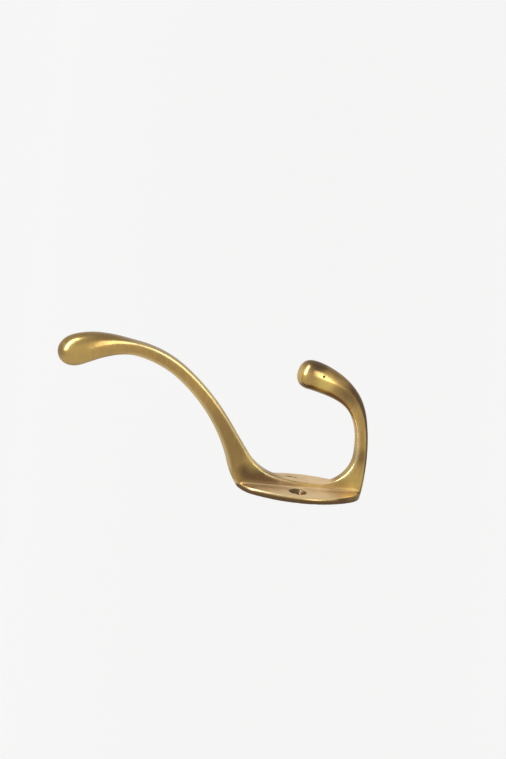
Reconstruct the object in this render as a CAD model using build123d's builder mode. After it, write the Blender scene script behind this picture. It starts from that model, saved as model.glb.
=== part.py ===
"""Double coat hook, cast in one piece in brass: an oval wall plate with two countersunk screw holes,
a low rib along its middle, a long arm that leans up the wall and a short arm that curls back over
the plate. Both arms thin to a waist and then swell to a round club end.

The back of the plate lies on the wall, Y = 0. The hook stands out towards -Y, the long arm points
up, +Z, and both sides of X = 0 are alike. The origin is the middle of the plate's back.
"""
import os
from math import atan2, cos, radians, sin

from build123d import *

# Wall plate, an oval of four arcs, in millimetres
plate_length = 58.0
plate_width = 36.0
plate_end_radius = 13.0
plate_thickness = 3.0
rim_radius = 1.2

# Screw holes, one on each side of the rib
hole_spacing = 18.4
hole_above_centre = 2.5
hole_radius = 2.25
countersink_radius = 4.2
countersink_angle = 90.0

# Rib, and the strap that runs on from it into both arms
rib_width = 6.5
rib_height = 2.2
rib_rise = 1.4
edge_radius = 1.5
cove_radius = 1.1
cove_overlap = 0.05

# Long arm, lengths in millimetres and angles in degrees
long_throat_setback = 19.8
long_throat_radius = 26.0
stem_angle = 53.2
stem_length = 18.0
stem_bend_radius = 112.0
stem_bend_angle = 16.3
long_waist = 6.4
long_foot_radius = 82.0
long_foot_angle = 33.5
long_crook_radius = 48.4
long_shank_angle = 27.0
long_neck_angle = 33.2
long_club = 14.0
long_nose_length = 8.2
long_nose_flat = 0.2

# Short arm
short_foot_length = 5.5
short_throat_radius = 15.0
short_rise_radius = 50.0
short_rise_angle = 10.0
short_waist = 5.5
short_bend_radius = 42.0
short_bend_angle = 13.0
short_crook_radius = 24.5
short_crook_angle = 36.0
short_tip_radius = 45.0
short_tip_angle = 18.0
short_tip_length = 2.6
short_club = 13.5
short_nose_length = 5.5
short_nose_flat = 2.0

# Club ends: sections that a neck is lofted through, and the fit of the nose on its neck
neck_sections = 6
club_roundness_ratio = 0.99
nose_inset = 0.02

# Side view of the hook: x runs up the wall, y out from it
side = Plane(origin=(0, 0, 0), x_dir=(0, 0, 1), z_dir=(1, 0, 0))
plate_end = plate_length / 2
half_width = plate_width / 2


def square_to(path, distance):
    """Plane square to an arm's centreline, with its x across the hook."""
    place = path.position_at(distance, position_mode=PositionMode.LENGTH)
    along = path.tangent_at(distance, position_mode=PositionMode.LENGTH)
    return Plane(side.from_local_coords(place), x_dir=(1, 0, 0), z_dir=side.from_local_coords(along))


def club_neck(path, waist, club):
    """Sections from the flat-sided waist to the round club, easing in and out of the swell."""
    sections = []
    for index in range(neck_sections + 1):
        step = index / neck_sections
        share = step * step * (3 - 2 * step)
        width = rib_width + (club - rib_width) * share
        depth = waist + (club - waist) * share
        corner = edge_radius + (club_roundness_ratio * club / 2 - edge_radius) * share
        with BuildSketch(square_to(path, path.length * step)) as section:
            RectangleRounded(width, depth, corner)
        sections.append(section.sketch)
    return sections


def club_nose(path, club, length, flat):
    """Domed nose, turned about the end of an arm's centreline."""
    end = square_to(path, path.length)
    base = club / 2 - nose_inset
    with BuildPart() as nose:
        with BuildSketch(Plane(end.origin, x_dir=end.z_dir, z_dir=(1, 0, 0))):
            with BuildLine():
                dome = EllipticalCenterArc((0, flat), length, base - flat, start_angle=0, arc_size=90)
                Polyline(dome @ 1, (0, 0), (length, 0), dome @ 0)
            make_face()
        revolve(axis=Axis(end.origin, end.z_dir))
    return nose.part


# Side outline of the strap, from the short arm's waist round the throat to the long arm's waist
with BuildLine() as strap_outline:
    low_point = (short_foot_length + short_throat_radius - plate_end, plate_thickness + rib_height)
    short_throat = JernArc(low_point, (-1, 0), short_throat_radius, -90)
    short_rise = JernArc(short_throat @ 1, short_throat % 1, short_rise_radius, -short_rise_angle)
    short_across = (short_rise % 1).rotate(Axis.Z, 90) * short_waist
    short_cut = Line(short_rise @ 1, short_rise @ 1 + short_across)
    short_heel = TangentArc(short_cut @ 1, (-plate_end, 0), tangent=-(short_rise % 1))

    throat_start = (plate_end - long_throat_setback, plate_thickness + rib_height + rib_rise)
    rib_top = TangentArc(low_point, throat_start, tangent=(1, 0))
    long_throat_angle = stem_angle - Vector(1, 0).get_angle(rib_top % 1)
    long_throat = JernArc(rib_top @ 1, rib_top % 1, long_throat_radius, long_throat_angle)
    stem = PolarLine(long_throat @ 1, stem_length, stem_angle)
    stem_bend = JernArc(stem @ 1, stem % 1, stem_bend_radius, -stem_bend_angle)
    front_radius = long_crook_radius + long_waist / 2
    long_front = JernArc(stem_bend @ 1, stem_bend % 1, front_radius, -long_shank_angle)
    long_across = (long_front % 1).rotate(Axis.Z, -90) * long_waist
    long_cut = Line(long_front @ 1, long_front @ 1 + long_across)
    back_radius = long_crook_radius - long_waist / 2
    long_back = JernArc(long_cut @ 1, -(long_front % 1), back_radius, long_shank_angle)
    long_foot = JernArc(long_back @ 1, long_back % 1, long_foot_radius, long_foot_angle)
    long_heel = TangentArc(long_foot @ 1, (plate_end, 0), tangent=long_foot % 1)
    Line(long_heel @ 1, short_heel @ 1)

# Centrelines of the necks, from the middle of each waist to the fullest part of its club
with BuildLine() as long_centre:
    JernArc(long_cut @ 0.5, long_front % 1, long_crook_radius, -long_neck_angle)

with BuildLine() as short_centre:
    short_bend = JernArc(short_cut @ 0.5, short_rise % 1, short_bend_radius, -short_bend_angle)
    short_crook = JernArc(short_bend @ 1, short_bend % 1, short_crook_radius, -short_crook_angle)
    short_tip = JernArc(short_crook @ 1, short_crook % 1, short_tip_radius, -short_tip_angle)
    PolarLine(short_tip @ 1, short_tip_length, direction=short_tip % 1)

# Strap: flat sides, with every long edge rounded
with BuildPart() as strap:
    with BuildSketch(side):
        with BuildLine():
            add(strap_outline.line)
        make_face()
    extrude(amount=rib_width / 2, both=True)
    side_edges = strap.edges().group_by(Axis.X)[0] + strap.edges().group_by(Axis.X)[-1]
    back = strap.faces().sort_by(Axis.Y)[-1]
    waists = [
        strap.faces().sort_by_distance(side.from_local_coords(cut @ 0.5))[0]
        for cut in (short_cut, long_cut)
    ]
    fillet(side_edges - back.edges() - waists[0].edges() - waists[1].edges(), edge_radius)

# Arms: each neck swells out of the strap, and its nose closes it
with BuildPart() as long_arm:
    loft(club_neck(long_centre.wire(), long_waist, long_club))

with BuildPart() as short_arm:
    loft(club_neck(short_centre.wire(), short_waist, short_club))

long_nose = club_nose(long_centre.wire(), long_club, long_nose_length, long_nose_flat)
short_nose = club_nose(short_centre.wire(), short_club, short_nose_length, short_nose_flat)

# The oval's end arcs and side arcs meet smoothly where a line through both their centres cuts it
side_reach = plate_end**2 + half_width**2 - 2 * plate_end * plate_end_radius
side_radius = side_reach / (2 * (half_width - plate_end_radius))
join_turn = atan2(plate_end - plate_end_radius, side_radius - half_width)
join_x = plate_end_radius * cos(join_turn)
join_z = plate_end - plate_end_radius + plate_end_radius * sin(join_turn)

# The casting: an oval plate with a rounded rim, and the strap and arms grown out of it
with BuildPart() as coat_hook:
    with BuildSketch(Plane.XZ):
        with BuildLine():
            ThreePointArc((-join_x, join_z), (0, plate_end), (join_x, join_z))
            ThreePointArc((join_x, join_z), (half_width, 0), (join_x, -join_z))
            ThreePointArc((join_x, -join_z), (0, -plate_end), (-join_x, -join_z))
            ThreePointArc((-join_x, -join_z), (-half_width, 0), (-join_x, join_z))
        make_face()
    extrude(amount=plate_thickness)
    plate_front = coat_hook.faces().sort_by(Axis.Y)[0]
    fillet(plate_front.edges(), rim_radius)
    with Locations(Plane.XZ.offset(plate_thickness)):
        with Locations((-hole_spacing / 2, hole_above_centre), (hole_spacing / 2, hole_above_centre)):
            CounterSinkHole(hole_radius, countersink_radius, counter_sink_angle=countersink_angle)

    # A cove in two slopes fills the corner between the plate and the rib, and dies away at both ends
    cove_end = plate_end - 2 * rim_radius
    cove_low = cove_radius * (1 - cos(radians(45)))
    with BuildSketch(Plane.XZ.offset(plate_thickness)):
        Rectangle(rib_width + 2 * (cove_radius - cove_overlap), 2 * cove_end)
    extrude(amount=cove_low, taper=67.5)
    with BuildSketch(Plane.XZ.offset(plate_thickness + cove_low)):
        Rectangle(rib_width + 2 * (cove_low - cove_overlap), 2 * (cove_end - cove_radius + cove_low))
    extrude(amount=cove_radius - cove_low, taper=22.5)

    add(strap.part)
    add(long_arm.part)
    add(short_arm.part)
    add(long_nose)
    add(short_nose)

os.makedirs("parts", exist_ok=True)
coat_hook.part.label = "coat_hook"
export_step(coat_hook.part, "parts/coat_hook.step")
print("coat_hook", len(coat_hook.solids()), "solid,", round(coat_hook.part.volume), "cubic millimetres")
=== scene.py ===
# %% [markdown]
# # A cast brass coat hook
# The hook is one brass casting: an oval wall plate, a low rib, a long arm and a short arm with club
# ends. It could be modelled afresh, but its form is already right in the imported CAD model. So this
# lesson starts from that and is about surface: the soft edges of a rubbed casting, the brown,
# half-polished skin of old brass, and the light that shows it.

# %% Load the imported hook
from math import cos, radians, sin

import bpy
from mathutils import Matrix, Vector


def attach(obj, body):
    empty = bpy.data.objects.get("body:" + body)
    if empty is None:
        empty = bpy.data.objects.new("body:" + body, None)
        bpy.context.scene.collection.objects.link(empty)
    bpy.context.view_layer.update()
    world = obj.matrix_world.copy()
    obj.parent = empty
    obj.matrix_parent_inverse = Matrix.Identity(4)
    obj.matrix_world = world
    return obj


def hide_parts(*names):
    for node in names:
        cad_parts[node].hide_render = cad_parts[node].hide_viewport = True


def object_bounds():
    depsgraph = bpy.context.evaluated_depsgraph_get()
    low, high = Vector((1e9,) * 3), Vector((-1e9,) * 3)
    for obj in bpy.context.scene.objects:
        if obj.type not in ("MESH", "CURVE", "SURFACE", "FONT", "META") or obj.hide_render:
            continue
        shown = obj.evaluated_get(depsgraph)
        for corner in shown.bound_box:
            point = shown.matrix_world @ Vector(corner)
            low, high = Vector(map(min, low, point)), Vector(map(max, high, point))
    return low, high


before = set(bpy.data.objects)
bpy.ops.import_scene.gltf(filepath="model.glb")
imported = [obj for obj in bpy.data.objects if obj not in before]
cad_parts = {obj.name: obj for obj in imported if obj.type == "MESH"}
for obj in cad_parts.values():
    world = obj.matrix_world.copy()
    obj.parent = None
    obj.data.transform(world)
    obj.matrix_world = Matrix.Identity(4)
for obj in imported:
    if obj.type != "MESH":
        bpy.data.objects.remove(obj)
cad_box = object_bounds()
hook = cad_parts["coat_hook"]
MM = 0.001
print("hook box in mm:", [[round(value / MM, 1) for value in corner] for corner in cad_box])

# %% [markdown]
# ## Camera
# The photograph looks at the hook's side, with the wall plate at the bottom of the picture and the
# long arm pointing left. A camera can be aimed with a constraint, but here its three axes are
# written out, because the picture is also rolled a little. The aim point, the distance and the
# height of the view at that distance are real sizes.

# %% Camera at the photograph's angle
PHOTO_HEIGHT = 759
MM_PER_PIXEL = 0.45
AIM = Vector((0.0, -50.9, 28.8)) * MM
CAMERA_DISTANCE = 700 * MM
SWING = radians(12.0)
LIFT = radians(14.0)
ROLL = radians(8.4)
SENSOR_HEIGHT = 36.0

towards_camera = Vector((-cos(LIFT) * cos(SWING), -sin(LIFT), cos(LIFT) * sin(SWING)))
level_right = Vector((-sin(SWING), 0.0, -cos(SWING)))
level_up = towards_camera.cross(level_right)
picture_right = level_right * cos(ROLL) + level_up * sin(ROLL)
picture_up = level_up * cos(ROLL) - level_right * sin(ROLL)

bpy.ops.object.select_all(action="DESELECT")
bpy.ops.object.camera_add(location=AIM + towards_camera * CAMERA_DISTANCE)
camera = bpy.context.object
camera.name = "photo_camera"
camera.rotation_euler = Matrix((picture_right, picture_up, towards_camera)).transposed().to_euler()
camera.data.sensor_fit = "VERTICAL"
camera.data.sensor_height = SENSOR_HEIGHT
camera.data.lens = SENSOR_HEIGHT * CAMERA_DISTANCE / (PHOTO_HEIGHT * MM_PER_PIXEL * MM)
bpy.context.scene.camera = camera
print("camera at", [round(value / MM) for value in camera.location], "mm, lens", round(camera.data.lens, 1))

# %% [markdown]
# ## The rubbed casting
# Sand casting and polishing leave no true corner: every edge is a little soft. Bevels could do this
# edge by edge, but they stop at the places where many edges meet. A copy of the model is
# rebuilt instead from small even cubes, which the Remesh modifier calls voxels, so that all edges
# can be softened alike. The CAD mesh is loose triangles, so the copy's points are merged first.

# %% Copy the hook and make its mesh even
VOXEL = 0.38 * MM
MERGE_DISTANCE = 0.001 * MM


def apply_modifier(piece, name, kind, **settings):
    """Adds a modifier with its settings and applies it."""
    modifier = piece.modifiers.new(name, kind)
    for key, value in settings.items():
        setattr(modifier, key, value)
    bpy.ops.object.modifier_apply(modifier=name)


bpy.ops.object.select_all(action="DESELECT")
hook.select_set(True)
bpy.context.view_layer.objects.active = hook
bpy.ops.object.duplicate()
casting = bpy.context.object
casting.name = "hook_casting"
bpy.ops.object.mode_set(mode="EDIT")
bpy.ops.mesh.select_all(action="SELECT")
bpy.ops.mesh.remove_doubles(threshold=MERGE_DISTANCE)
bpy.ops.object.mode_set(mode="OBJECT")
apply_modifier(casting, "even_mesh", "REMESH", mode="VOXEL", voxel_size=VOXEL)
print("even mesh:", len(casting.data.polygons), "faces")

# %% [markdown]
# ## Soft edges at full size
# A Smooth modifier rounds the edges as rubbing does, and a few passes are enough. Voxels also leave
# a fine unevenness that shows in the reflections. More passes would take it out, but each one shrinks
# the hook. So the skin is faired: one pass in and a slightly stronger one out, many times over,
# which evens it and keeps its size.

# %% Soften the edges and fair the skin
SMOOTH_IN = 0.5
SMOOTH_OUT = -0.53
SOFTEN_PASSES = 10
FAIRING_ROUNDS = 60

apply_modifier(casting, "soft_edges", "SMOOTH", factor=SMOOTH_IN, iterations=SOFTEN_PASSES)
for _ in range(FAIRING_ROUNDS):
    apply_modifier(casting, "in", "SMOOTH", factor=SMOOTH_IN, iterations=1)
    apply_modifier(casting, "out", "SMOOTH", factor=SMOOTH_OUT, iterations=1)
heights = [point.co.z for point in casting.data.vertices]
print("height after smoothing:", round((max(heights) - min(heights)) / MM, 2), "mm")

# %% [markdown]
# ## Wiped coves
# On the real hook the corner between the rib and the plate is wiped much rounder than the edges,
# into a wide cove. A bevel of that corner would end in a hard line. A second Smooth modifier melts
# into the plate instead. It is held to a vertex group: each point has a weight, which is 1 in the
# corner and falls to nothing on the sides of the web, round the screw holes and at the rim.

# %% Wipe the coves beside the rib
COVE_PASSES = 80
HOLE_PLACE = Vector((9.2, 2.5)) * MM
HALF_OVAL = Vector((18.0, 29.0)) * MM
# Where the weight starts and where it is full: across from the web and on the plate, out from the
# wall, as a share of the oval, and from the middle of a screw hole.
FROM_WEB = (2.4 * MM, 3.4 * MM)
ON_PLATE = (9.5 * MM, 6.0 * MM)
ABOVE_PLATE = (2.4 * MM, 2.9 * MM)
BELOW_ARM = (11.0 * MM, 7.0 * MM)
INSIDE_RIM = (0.97, 0.87)
FROM_HOLE = (4.3 * MM, 5.3 * MM)


def ramp(value, start, full):
    """0 at start, 1 at full and even in between."""
    return min(max((value - start) / (full - start), 0.0), 1.0)


def cove_weight(point):
    """How much a point is smoothed."""
    across, out, up = abs(point.x), -point.y, point.z
    beside = ramp(across, *FROM_WEB) * ramp(across, *ON_PLATE)
    between = ramp(out, *ABOVE_PLATE) * ramp(out, *BELOW_ARM)
    on_oval = ramp(Vector((across / HALF_OVAL.x, up / HALF_OVAL.y)).length, *INSIDE_RIM)
    off_hole = ramp((Vector((across, up)) - HOLE_PLACE).length, *FROM_HOLE)
    return beside * between * on_oval * off_hole


cove = casting.vertex_groups.new(name="cove")
weights = [cove_weight(point.co) for point in casting.data.vertices]
for index, weight in enumerate(weights):
    if weight > 0:
        cove.add([index], weight, "REPLACE")
apply_modifier(
    casting, "wiped_cove", "SMOOTH", factor=SMOOTH_IN, iterations=COVE_PASSES, vertex_group=cove.name)
print("cove points:", sum(weight > 0 for weight in weights))

# %% [markdown]
# ## Waviness from polishing
# A polishing belt does not leave a surface perfectly even. A bump in the material could tilt the
# reflections, but it would be lost where the hook is seen edge on. A Displace modifier with a cloud
# pattern lowers the skin by a few hundredths of a millimetre. That is too little to see as a shape,
# but it makes the reflections waver. It only ever moves the skin inwards.

# %% Lower the skin a little, unevenly
WAVE_WIDTH = 7.0 * MM
WAVE_DEPTH = 0.09 * MM

waves = bpy.data.textures.new("polishing_waves", "CLOUDS")
waves.noise_scale = WAVE_WIDTH
waves.noise_depth = 1
apply_modifier(
    casting, "waviness", "DISPLACE", texture=waves, texture_coords="LOCAL", strength=WAVE_DEPTH,
    mid_level=1.0)
print("waves", round(WAVE_WIDTH / MM, 1), "mm wide and up to", round(WAVE_DEPTH / MM, 2), "mm deep")

# %% [markdown]
# ## Casting pinhole
# Gas in the metal left one pinhole in the side of the short arm's club. A dark dot in the material
# would be quicker, but a real pit holds its own shadow from every side. The faces round it are cut
# finer, and three rings of points, each smaller than the last, are pushed in one after another.

# %% Push in the pinhole
PINHOLE = Vector((-6.6, -56.9, -2.3)) * MM
PINHOLE_PATCH = 1.3 * MM
PINHOLE_CUTS = 4
# Each ring's reach from the middle, and how far it is pushed in
PINHOLE_RINGS = [(0.58 * MM, 0.25 * MM), (0.52 * MM, 0.35 * MM), (0.44 * MM, 0.35 * MM)]


def select_near(piece, place, reach):
    """Selects the points of a piece within reach of a place, in edit mode, and counts them."""
    bpy.ops.object.mode_set(mode="OBJECT")
    for polygon in piece.data.polygons:
        polygon.select = False
    for edge in piece.data.edges:
        edge.select = False
    for point in piece.data.vertices:
        point.select = (point.co - place).length < reach
    bpy.ops.object.mode_set(mode="EDIT")
    bpy.ops.mesh.select_mode(type="VERT")
    return sum(point.select for point in piece.data.vertices)


nearest = min(casting.data.vertices, key=lambda point: (point.co - PINHOLE).length)
pit_place = nearest.co.copy()
pit_inwards = -nearest.normal
select_near(casting, pit_place, PINHOLE_PATCH)
bpy.ops.mesh.subdivide(number_cuts=PINHOLE_CUTS)
for reach, push in PINHOLE_RINGS:
    count = select_near(casting, pit_place, reach)
    bpy.ops.transform.translate(value=pit_inwards * push)
    pit_place = pit_place + pit_inwards * push
    print("ring of", count, "points pushed in", round(push / MM, 2), "mm")
bpy.ops.object.mode_set(mode="OBJECT")
bpy.ops.object.shade_smooth()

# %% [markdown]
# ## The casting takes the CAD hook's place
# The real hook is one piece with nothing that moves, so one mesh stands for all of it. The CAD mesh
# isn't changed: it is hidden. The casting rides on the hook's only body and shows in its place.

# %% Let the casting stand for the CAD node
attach(casting, "root")
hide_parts("coat_hook")
print(casting.name, "has", sum(len(face.vertices) - 2 for face in casting.data.polygons), "triangles")

# %% [markdown]
# ## Helpers for materials
# Colours are picked as the hex values that a paint program shows. Blender mixes light in
# linear values, so one function converts them. A second one adds a shader node, sets its
# properties, and fills each input with a value or a link. Clicking nodes together gives the same
# result, but a script can be read from top to bottom.


# %% Colour and node helpers
def linear(hex_colour):
    """Linear RGBA from an sRGB hex colour such as #a08040."""
    channels = [int(hex_colour[place:place + 2], 16) / 255 for place in (1, 3, 5)]
    mixed = [value / 12.92 if value <= 0.04045 else ((value + 0.055) / 1.055) ** 2.4 for value in channels]
    return (*mixed, 1.0)


def add_node(tree, kind, inputs=None, **settings):
    """Adds a node with its settings. Each input is given a value, or is linked to a socket."""
    node = tree.nodes.new(kind)
    for name, value in settings.items():
        setattr(node, name, value)
    for name, value in (inputs or {}).items():
        if isinstance(value, bpy.types.NodeSocket):
            tree.links.new(value, node.inputs[name])
        else:
            node.inputs[name].default_value = value
    return node


def new_material(name):
    """An empty node material, with its node tree and its output node."""
    material = bpy.data.materials.new(name)
    material.use_nodes = True
    material.node_tree.nodes.clear()
    return material, material.node_tree, add_node(material.node_tree, "ShaderNodeOutputMaterial")


print("brass as linear light:", [round(value, 3) for value in linear("#b39355")[:3]])

# %% [markdown]
# ## Antique brass, cast and hand-polished
# Such a hook is dipped to brown it, rubbed back and lacquered. To the eye it is a warm satin metal:
# gold on the sides, brown from the dip, pale along the worn edges. Part of that colour is painted
# light: the brown carries painted shade and dark reflections on sides that face away, the pits are
# painted nearly black as shade, and bright places and edges carry painted highlights. An image could
# be painted for it, but masks that are worked out from the shape fit from every side. So it is one
# metal shader, and its colour follows masks. First come the uneven patterns: blotches, mottling,
# grain and polishing lines. The real grain and lines are about a tenth of a millimetre wide, and are
# drawn coarser so that they show at all.

# %% Antique brass: uneven patterns
# Width in millimetres, detail and roughness of each noise
NOISES = {"blotch": (9.0, 4.0, 0.6), "mottle": (2.4, 5.0, 0.65), "grain": (0.5, 3.0, 0.6)}
LINE_MM = (6.0, 6.0, 0.6)
LINE_DETAIL = 2.0
LINE_ROUGHNESS = 0.6

brass, brass_tree, brass_output = new_material("antique_brass_cast_hand_polished")
coordinates = add_node(brass_tree, "ShaderNodeTexCoord")
here = coordinates.outputs["Object"]
noise = {}
for name, (width, detail, roughness) in NOISES.items():
    noise[name] = add_node(brass_tree, "ShaderNodeTexNoise", {
        "Vector": here, "Scale": 1 / (width * MM), "Detail": detail, "Roughness": roughness}).outputs["Fac"]
# Polishing lines are long across the arms and narrow along them
drawn_out = add_node(brass_tree, "ShaderNodeVectorMath", {
    0: here, 1: [1 / (size * MM) for size in LINE_MM]}, operation="MULTIPLY")
lines = add_node(brass_tree, "ShaderNodeTexNoise", {
    "Vector": drawn_out.outputs["Vector"], "Scale": 1.0, "Detail": LINE_DETAIL,
    "Roughness": LINE_ROUGHNESS})
place = add_node(brass_tree, "ShaderNodeSeparateXYZ", {"Vector": here})
facing = add_node(brass_tree, "ShaderNodeSeparateXYZ", {"Vector": coordinates.outputs["Normal"]})
print("patterns:", list(noise), "and polishing lines")

# %% [markdown]
# ## The plate's front
# The front of the plate and its coves are out of the belt's reach, so they stay as cast and rougher
# than the arms. Their paler colour is partly a painted reflection: faces near the wall that turn away
# from it are lightened as if they showed the pale room. A second material could be given to those
# faces, but it would meet the first in a hard line. A mask fades instead. It is full where the
# surface is close to the wall and faces away from it.

# %% Antique brass: as cast, with a painted reflection, on the plate's front
EASED = {"interpolation_type": "SMOOTHSTEP"}
LOW_MM = (-8.0, -6.0)
FRONT_FACING = (-0.6, -0.92)

low = add_node(brass_tree, "ShaderNodeMapRange", {
    "Value": place.outputs["Y"], "From Min": LOW_MM[0] * MM, "From Max": LOW_MM[1] * MM})
# Pale front: as cast, and a painted reflection on faces turned away from the wall
cast_front_and_sheen = add_node(brass_tree, "ShaderNodeMapRange", {
    "Value": facing.outputs["Y"], "From Min": FRONT_FACING[0], "From Max": FRONT_FACING[1],
    "To Max": low.outputs["Result"]}, **EASED)
print("as cast below", -LOW_MM[0], "mm from the wall")

# %% [markdown]
# ## Painted shade and painted highlights in patches
# A few places are painted brown over the brown of the dip: they are painted shade and dark
# reflections, at the long arm's foot, on the rib, along the stem and on the short arm's club. A few
# others are painted highlights, brighter than the rest. Noise alone would put them anywhere. Here each
# has its own place in the side view and a soft, uneven edge, and they go right through to the hook's
# other side.

# %% Antique brass: painted shade and highlight patches
# Each patch has a middle in the side view, as Y and Z, then how far it is full and how far it fades
# out, all in millimetres, its share, and how many times longer than deep it is.
# Painted shade and dark reflections, laid as brown
SHADE_PATCHES = [
    ((-8.5, 23.5), 2.5, 8.5, 0.85, 1.3),  # long arm's foot
    ((-5.5, 18.0), 2.5, 8.5, 0.85, 2.0),  # rib, next to that foot
    ((-5.5, 8.0), 1.5, 7.0, 0.7, 2.0),  # rib, beside the holes
    ((-22.0, 36.0), 6.0, 30.0, 0.4),  # long arm's stem
    ((-20.0, -26.5), 1.0, 6.5, 0.6),  # short arm, above its foot
    ((-65.0, -0.5), 4.5, 9.5, 1.0, 1.3),  # short arm's club
    ((-50.5, -16.0), 2.0, 11.0, 0.65),  # short arm's shoulder
    ((-57.0, 118.0), 1.5, 6.5, 0.7),  # long arm's nose
    ((-4.0, -17.0), 3.0, 9.0, 0.4),  # rib, next to the short arm
]
# Painted highlights, laid as brighter brass
HIGHLIGHT_PATCHES = [
    ((-14.0, 22.5), 1.5, 7.5, 0.35),  # long arm's throat
    ((-54.0, -3.0), 1.5, 6.5, 0.6),  # side of the short arm's club
    ((-57.0, 9.0), 1.0, 5.5, 0.4),  # short arm's nose
    ((-8.0, -24.5), 2.0, 9.0, 0.25),  # short arm's foot
    ((-56.0, 108.0), 3.0, 15.0, 0.15),  # long arm's club
]
UNEVEN = 0.3
PATCH_ON_PLATE = 0.1


def soft_patch(middle, full, fade, share, longer=1.0):
    """A soft, slightly uneven patch in the side view."""
    from_middle = add_node(brass_tree, "ShaderNodeVectorMath", {
        0: here, 1: (0.0, 1.0, 1 / longer),
        2: Vector((0.0, -middle[0], -middle[1] / longer)) * MM}, operation="MULTIPLY_ADD")
    away = add_node(brass_tree, "ShaderNodeVectorMath", {
        0: from_middle.outputs["Vector"]}, operation="LENGTH")
    uneven = add_node(brass_tree, "ShaderNodeMath", {
        0: noise["blotch"], 1: UNEVEN * fade * MM, 2: away.outputs["Value"]}, operation="MULTIPLY_ADD")
    return add_node(brass_tree, "ShaderNodeMapRange", {
        "Value": uneven.outputs["Value"], "From Min": (1 + UNEVEN / 2) * fade * MM,
        "From Max": (full + UNEVEN / 2 * fade) * MM, "To Max": share}, **EASED).outputs["Result"]


def largest(values):
    """The largest of several masks."""
    result = values[0]
    for value in values[1:]:
        both = add_node(brass_tree, "ShaderNodeMath", {0: result, 1: value}, operation="MAXIMUM")
        result = both.outputs["Value"]
    return result


# The painted shade stays on the web's and the arms' sides, and hardly reaches the plate's front
off_plate = add_node(brass_tree, "ShaderNodeMapRange", {
    "Value": cast_front_and_sheen.outputs["Result"], "To Min": 1.0, "To Max": PATCH_ON_PLATE})
shade_patches = add_node(brass_tree, "ShaderNodeMath", {
    0: largest([soft_patch(*patch) for patch in SHADE_PATCHES]), 1: off_plate.outputs["Result"]},
    operation="MULTIPLY")
painted_highlight = largest([soft_patch(*patch) for patch in HIGHLIGHT_PATCHES])
print("brown patches:", len(SHADE_PATCHES), "rubbed places:", len(HIGHLIGHT_PATCHES))

# %% [markdown]
# ## Sides darkened as painted shade
# The fronts of the arms, the sides towards the wall, the outer side of the short arm and the plate's
# back are painted darker as they turn away: painted shade and dark reflection, laid over the brown
# of the dip. Vertex paint could mark them, but the surface's direction already tells them apart.
# Each mask below sets in as the normal turns, and a range of places keeps it to its arm.

# %% Antique brass: painted shade on turned-away sides
# Each side has its normal's axis, the range in which its painted shade sets in and its share, then
# the axis and the range, in millimetres, of the places where it counts.
# Painted shade on sides, set by the way they face
SHADED_SIDES = [
    ("Y", -0.3, -0.75, 0.65, "Y", -14.0, -25.0),  # fronts of the arms
    ("Y", 0.5, 0.9, 0.6, "Y", -14.0, -25.0),  # the arms' sides towards the wall
]
# Painted shade that also takes the painted sheen off the edges of these sides
SHADED_UNWORN_SIDES = [
    ("Y", 0.38, 0.62, 0.9, "Z", 14.0, 9.0),  # short arm's side towards the wall, and the plate's back
    ("Z", -0.05, -0.4, 0.95, "Z", -10.0, -17.0),  # short arm's outer side
]


def turned_away(axis, start, full, share, place_axis, place_start, place_full):
    """A mask of the surfaces that face one way, in one range of places."""
    turned = add_node(brass_tree, "ShaderNodeMapRange", {
        "Value": facing.outputs[axis], "From Min": start, "From Max": full, "To Max": share}, **EASED)
    on_arm = add_node(brass_tree, "ShaderNodeMapRange", {
        "Value": place.outputs[place_axis], "From Min": place_start * MM,
        "From Max": place_full * MM}, **EASED)
    return add_node(brass_tree, "ShaderNodeMath", {
        0: turned.outputs["Result"], 1: on_arm.outputs["Result"]}, operation="MULTIPLY").outputs["Value"]


masks = [shade_patches.outputs["Value"]]
masks.extend(turned_away(*side) for side in SHADED_SIDES)
shaded_unworn = largest([turned_away(*side) for side in SHADED_UNWORN_SIDES])
masks.append(shaded_unworn)
print("sides:", len(SHADED_SIDES) + len(SHADED_UNWORN_SIDES))

# %% [markdown]
# ## Screw holes, the plate's edge and blotches
# The dip stays on the plate's thin edge, where no polishing wheel reaches, and the brown is blotchy
# all over. The countersinks are darkened too: brown of the dip and a painted shade that keeps their
# far walls dark. A ball round each hole and a depth from the wall are enough to mark these places.
# The strongest mask wins at every point, so overlapping ones don't add up.

# %% Antique brass: the rest of the brown, with painted shade in the holes
HOLE_DEPTH = -1.8 * MM
HOLE_FADE_MM = (4.6, 4.0)
HOLE_BROWN_AND_SHADE = 0.95
PLATE_EDGE_MM = (-2.8, -1.6)
PLATE_EDGE_BROWN = 0.9
BLOTCH_RANGE = (0.45, 0.75)
BLOTCH_BROWN = 0.25

# Painted shade and brown of the dip in the countersinks
for side in (-1, 1):
    away = add_node(brass_tree, "ShaderNodeVectorMath", {
        0: here, 1: (side * HOLE_PLACE.x, HOLE_DEPTH, HOLE_PLACE.y)}, operation="DISTANCE")
    masks.append(add_node(brass_tree, "ShaderNodeMapRange", {
        "Value": away.outputs["Value"], "From Min": HOLE_FADE_MM[0] * MM,
        "From Max": HOLE_FADE_MM[1] * MM, "To Max": HOLE_BROWN_AND_SHADE}, **EASED).outputs["Result"])
masks.append(add_node(brass_tree, "ShaderNodeMapRange", {
    "Value": place.outputs["Y"], "From Min": PLATE_EDGE_MM[0] * MM, "From Max": PLATE_EDGE_MM[1] * MM,
    "To Max": PLATE_EDGE_BROWN}, **EASED).outputs["Result"])
masks.append(add_node(brass_tree, "ShaderNodeMapRange", {
    "Value": noise["blotch"], "From Min": BLOTCH_RANGE[0], "From Max": BLOTCH_RANGE[1],
    "To Max": BLOTCH_BROWN}).outputs["Result"])
brown = largest(masks)
print("brown masks:", len(masks))

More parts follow.
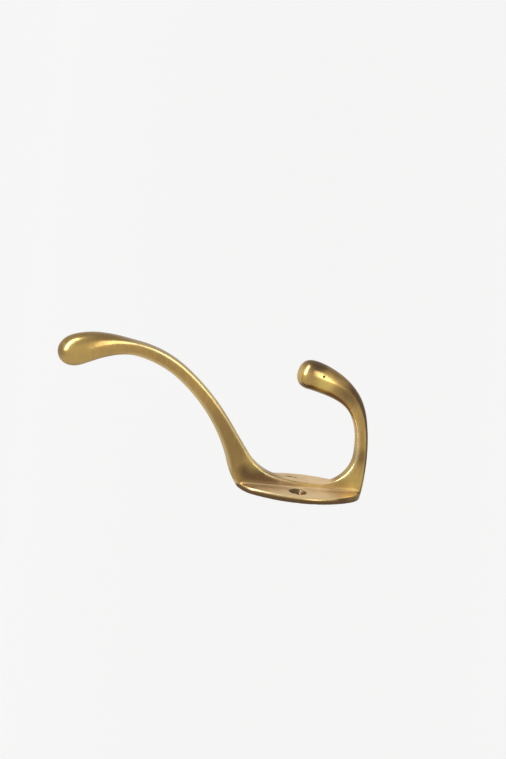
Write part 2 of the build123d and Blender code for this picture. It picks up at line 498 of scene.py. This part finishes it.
# %% [markdown]
# ## Painted shade in pits, and worn edges with a painted sheen
# Pits are painted nearly black as shade, and edges are painted pale, partly as wear and partly as a
# painted highlight. Both could be drawn on an image, but Ambient Occlusion finds them: it tells how
# much of the space over a point is open. Asked the other way, inside the metal, it tells where the
# metal is thin, and that is at an edge. The wear and sheen also depend on the distance from the wall:
# none below the rim, full on it, little on the rib, and full on the arms.

# %% Antique brass: painted shade in pits, and worn edges with a painted sheen
PIT_REACH = 1.0 * MM
PIT_RANGE = (0.75, 0.4)
EDGE_REACH = 1.6 * MM
EDGE_RANGE = (0.96, 0.84)
EDGE_WEAR_AND_SHEEN = 0.9
AO_SAMPLES = 16
# Distance from the wall in millimetres, and the share of wear and painted sheen there
WEAR_AND_SHEEN_STOPS = [(2.0, 0.0), (2.7, 1.0), (3.4, 1.0), (4.4, 0.35), (6.6, 0.35), (10.0, 1.0)]
WEAR_AND_SHEEN_RANGE = 12.0
PINHOLE_CLEAR = (1.2 * MM, 1.8 * MM)
SHADED_UNWORN_FULL = 0.5

# Painted shade: pits darker where less space is open over a point
open_space = add_node(
    brass_tree, "ShaderNodeAmbientOcclusion", {"Distance": PIT_REACH}, samples=AO_SAMPLES)
pit_shade = add_node(brass_tree, "ShaderNodeMapRange", {
    "Value": open_space.outputs["AO"], "From Min": PIT_RANGE[0], "From Max": PIT_RANGE[1]})
# Pale edges: wear, and a painted highlight along them
thick_metal = add_node(
    brass_tree, "ShaderNodeAmbientOcclusion", {"Distance": EDGE_REACH}, samples=AO_SAMPLES, inside=True)
edge = add_node(brass_tree, "ShaderNodeMapRange", {
    "Value": thick_metal.outputs["AO"], "From Min": EDGE_RANGE[0], "From Max": EDGE_RANGE[1],
    "To Max": EDGE_WEAR_AND_SHEEN})

depth = add_node(brass_tree, "ShaderNodeMapRange", {
    "Value": place.outputs["Y"], "From Min": 0.0, "From Max": -WEAR_AND_SHEEN_RANGE * MM})
reached = add_node(brass_tree, "ShaderNodeValToRGB", {"Fac": depth.outputs["Result"]})
for distance, share in WEAR_AND_SHEEN_STOPS:
    stop = reached.color_ramp.elements.new(distance / WEAR_AND_SHEEN_RANGE)
    stop.color = (share, share, share, 1.0)
reached.color_ramp.elements[0].color = (0.0, 0.0, 0.0, 1.0)

# The pinhole's rim is thin metal too, but it is a raw pit and isn't worn
from_pinhole = add_node(brass_tree, "ShaderNodeVectorMath", {0: here, 1: PINHOLE}, operation="DISTANCE")
worn_edge_and_sheen = add_node(brass_tree, "ShaderNodeMapRange", {
    "Value": from_pinhole.outputs["Value"], "From Min": PINHOLE_CLEAR[0], "From Max": PINHOLE_CLEAR[1],
    "To Max": edge.outputs["Result"]})
handled_wear_and_sheen = add_node(brass_tree, "ShaderNodeMath", {
    0: worn_edge_and_sheen.outputs["Result"], 1: reached.outputs["Color"]}, operation="MULTIPLY")
wear_and_sheen = add_node(brass_tree, "ShaderNodeMapRange", {
    "Value": shaded_unworn, "From Max": SHADED_UNWORN_FULL, "To Min": handled_wear_and_sheen.outputs["Value"], "To Max": 0.0})
print("wear stops:", len(WEAR_AND_SHEEN_STOPS))

# %% [markdown]
# ## The colours, one over another
# The colours are mixed in layers: polished gold with its fine lines, the pale as-cast front with its
# painted reflection, the brown of the dip with its painted shade, the painted highlights, the worn
# edges with their painted sheen, and last the painted shade in the pits. One mix node for each layer
# keeps the order plain.

# %% Antique brass: colours
FACTOR, COLOUR_A, COLOUR_B = 0, 6, 7
MIXED = 2
GOLD_DARK = "#997a44"
GOLD_LIGHT = "#ba9757"
# Painted light in these layers: reflection on the front, shade in brown and pits, highlights, edge sheen
LAYERS = [
    ("as cast", cast_front_and_sheen.outputs["Result"], "#dabe92"),
    ("brown of the dip", brown, "#4f3a25"),
    ("rubbed bright", painted_highlight, "#dfc26a"),
    ("worn edges", wear_and_sheen.outputs["Result"], "#ecd69e"),
    ("painted shade in pits", pit_shade.outputs["Result"], "#20150c"),
]

gold = add_node(brass_tree, "ShaderNodeMix", {
    FACTOR: lines.outputs["Fac"], COLOUR_A: linear(GOLD_DARK), COLOUR_B: linear(GOLD_LIGHT)},
    data_type="RGBA", label="polished gold")
colour = gold.outputs[MIXED]
for label, mask, hex_colour in LAYERS:
    layer = add_node(brass_tree, "ShaderNodeMix", {
        FACTOR: mask, COLOUR_A: colour, COLOUR_B: linear(hex_colour)}, data_type="RGBA", label=label)
    colour = layer.outputs[MIXED]
print("colour layers:", len(LAYERS) + 1)

# %% [markdown]
# ## The metal shader
# Satin brass spreads its reflections a little, and the as-cast front spreads them more, except on its
# worn rim. A fine grain breaks up the highlights. The lacquer is a thin clear coat: it adds a pale,
# softer reflection over the brown, which bare metal would not have. It is the same all over, so its
# values are set straight on the shader.

# %% Antique brass: roughness, grain and lacquer
MOTTLE_RANGE = (0.3, 0.75)
POLISHED_ROUGHNESS = (0.2, 0.3)
CAST_ROUGHNESS = 0.25
RIM_POLISH = 0.6
GRAIN_STRENGTH = 0.3
GRAIN_DEPTH = 0.02 * MM

polished = add_node(brass_tree, "ShaderNodeMapRange", {
    "Value": noise["mottle"], "From Min": MOTTLE_RANGE[0], "From Max": MOTTLE_RANGE[1],
    "To Min": POLISHED_ROUGHNESS[0], "To Max": POLISHED_ROUGHNESS[1]})
unpolished = add_node(brass_tree, "ShaderNodeMapRange", {
    "Value": edge.outputs["Result"], "From Max": RIM_POLISH, "To Min": low.outputs["Result"],
    "To Max": 0.0})
rough = add_node(brass_tree, "ShaderNodeMath", {
    0: unpolished.outputs["Result"], 1: CAST_ROUGHNESS, 2: polished.outputs["Result"]},
    operation="MULTIPLY_ADD")
bump = add_node(brass_tree, "ShaderNodeBump", {
    "Height": noise["grain"], "Strength": GRAIN_STRENGTH, "Distance": GRAIN_DEPTH})
metal = add_node(brass_tree, "ShaderNodeBsdfPrincipled", {
    "Base Color": colour, "Metallic": 1.0, "Roughness": rough.outputs["Value"],
    "Specular Tint": linear("#efe5d3"), "Coat Weight": 0.25, "Coat Roughness": 0.2,
    "Normal": bump.outputs["Normal"]})
brass_tree.links.new(metal.outputs["BSDF"], brass_output.inputs["Surface"])

casting.data.materials.clear()
casting.data.materials.append(brass)
print(brass.name, "has", len(brass_tree.nodes), "nodes")

# %% [markdown]
# ## Floor
# The floor is a wide pale sheet. It lies a metre below the hook, because some of the photograph's
# light comes from below the hook as it hangs on a wall, and a near floor would cut that lamp off. A
# white world alone would hold no shadow. The lamps light the sheet, so it keeps a soft one, and a
# little light of its own, seen by the camera and in reflections only, brings it up to near white.

# %% Pale floor
FLOOR_SIZE = 40.0
FLOOR_GAP = 1000 * MM
FLOOR_GLOW = 0.672
PAPER_ROUGHNESS = 0.9

bpy.ops.object.select_all(action="DESELECT")
bpy.ops.mesh.primitive_plane_add(size=FLOOR_SIZE, location=(0.0, 0.0, cad_box[0][2] - FLOOR_GAP))
floor = bpy.context.object
floor.name = "studio_floor"
bpy.ops.object.transform_apply(location=True, rotation=True, scale=True)

paper, paper_tree, paper_output = new_material("studio_paper_matt")
ray = add_node(paper_tree, "ShaderNodeLightPath")
seen = ray.outputs["Is Camera Ray"]
for kind in ("Is Glossy Ray", "Is Transmission Ray"):
    either = add_node(paper_tree, "ShaderNodeMath", {0: seen, 1: ray.outputs[kind]}, operation="MAXIMUM")
    seen = either.outputs["Value"]
glow = add_node(paper_tree, "ShaderNodeMath", {0: seen, 1: FLOOR_GLOW}, operation="MULTIPLY")
sheet = add_node(paper_tree, "ShaderNodeBsdfPrincipled", {
    "Base Color": linear("#80807f"), "Roughness": PAPER_ROUGHNESS, "Emission Color": linear("#ffffff"),
    "Emission Strength": glow.outputs["Value"]})
paper_tree.links.new(sheet.outputs["BSDF"], paper_output.inputs["Surface"])
floor.data.materials.append(paper)
print("floor", FLOOR_SIZE, "m wide at", round(floor.data.vertices[0].co.z / MM, 1), "mm")

# %% [markdown]
# ## Soft studio light
# Metal shows its surroundings, so the lamps are shaped for their reflections. A window softbox on the
# camera's side, below the hook, lays the broad glow on the short arm's club and the web. A long strip
# softbox in front of the hook and above it draws the thin bright line along the arms. Point lamps
# would give only dots. A pale world fills in the rest at the floor's own level, so no horizon shows.

# %% Lamps and world
WORLD_LIGHT = 0.925
LAMP_DISTANCE = 1.2
# Name, direction from the hook, direction of its length, width and length in metres, and watts
SOFTBOXES = [
    ("window_softbox", (-0.815, -0.39, -0.425), (0.0, -1.0, 0.0), 0.36, 0.9, 4.7),
    ("strip_softbox", (-0.22, -0.62, 0.73), (-0.4, 0.7, 0.6), 0.28, 1.6, 24.0),
]

bpy.ops.object.select_all(action="DESELECT")
for name, direction, length_along, width, length, watts in SOFTBOXES:
    away = Vector(direction).normalized()
    along = Vector(length_along)
    along = (along - along.dot(away) * away).normalized()
    bpy.ops.object.light_add(type="AREA", location=AIM + away * LAMP_DISTANCE)
    lamp = bpy.context.object
    lamp.name = name
    lamp.rotation_euler = Matrix((along.cross(away), along, away)).transposed().to_euler()
    lamp.data.shape = "RECTANGLE"
    lamp.data.size = width
    lamp.data.size_y = length
    lamp.data.energy = watts
    lamp.visible_camera = False
    print(lamp.name, width, "by", length, "m,", watts, "W")

world = bpy.data.worlds.new("pale_studio")
bpy.context.scene.world = world
world.use_nodes = True
world.node_tree.nodes.clear()
surround = add_node(world.node_tree, "ShaderNodeBackground", {
    "Color": linear("#ffffff"), "Strength": WORLD_LIGHT})
add_node(world.node_tree, "ShaderNodeOutputWorld", {"Surface": surround.outputs["Background"]})

# %% [markdown]
# ## Finish
# The Standard view shows each colour about as it was picked. Smoothing and waves may only take metal
# away.

# %% Finish
bpy.context.scene.view_settings.view_transform = "Standard"
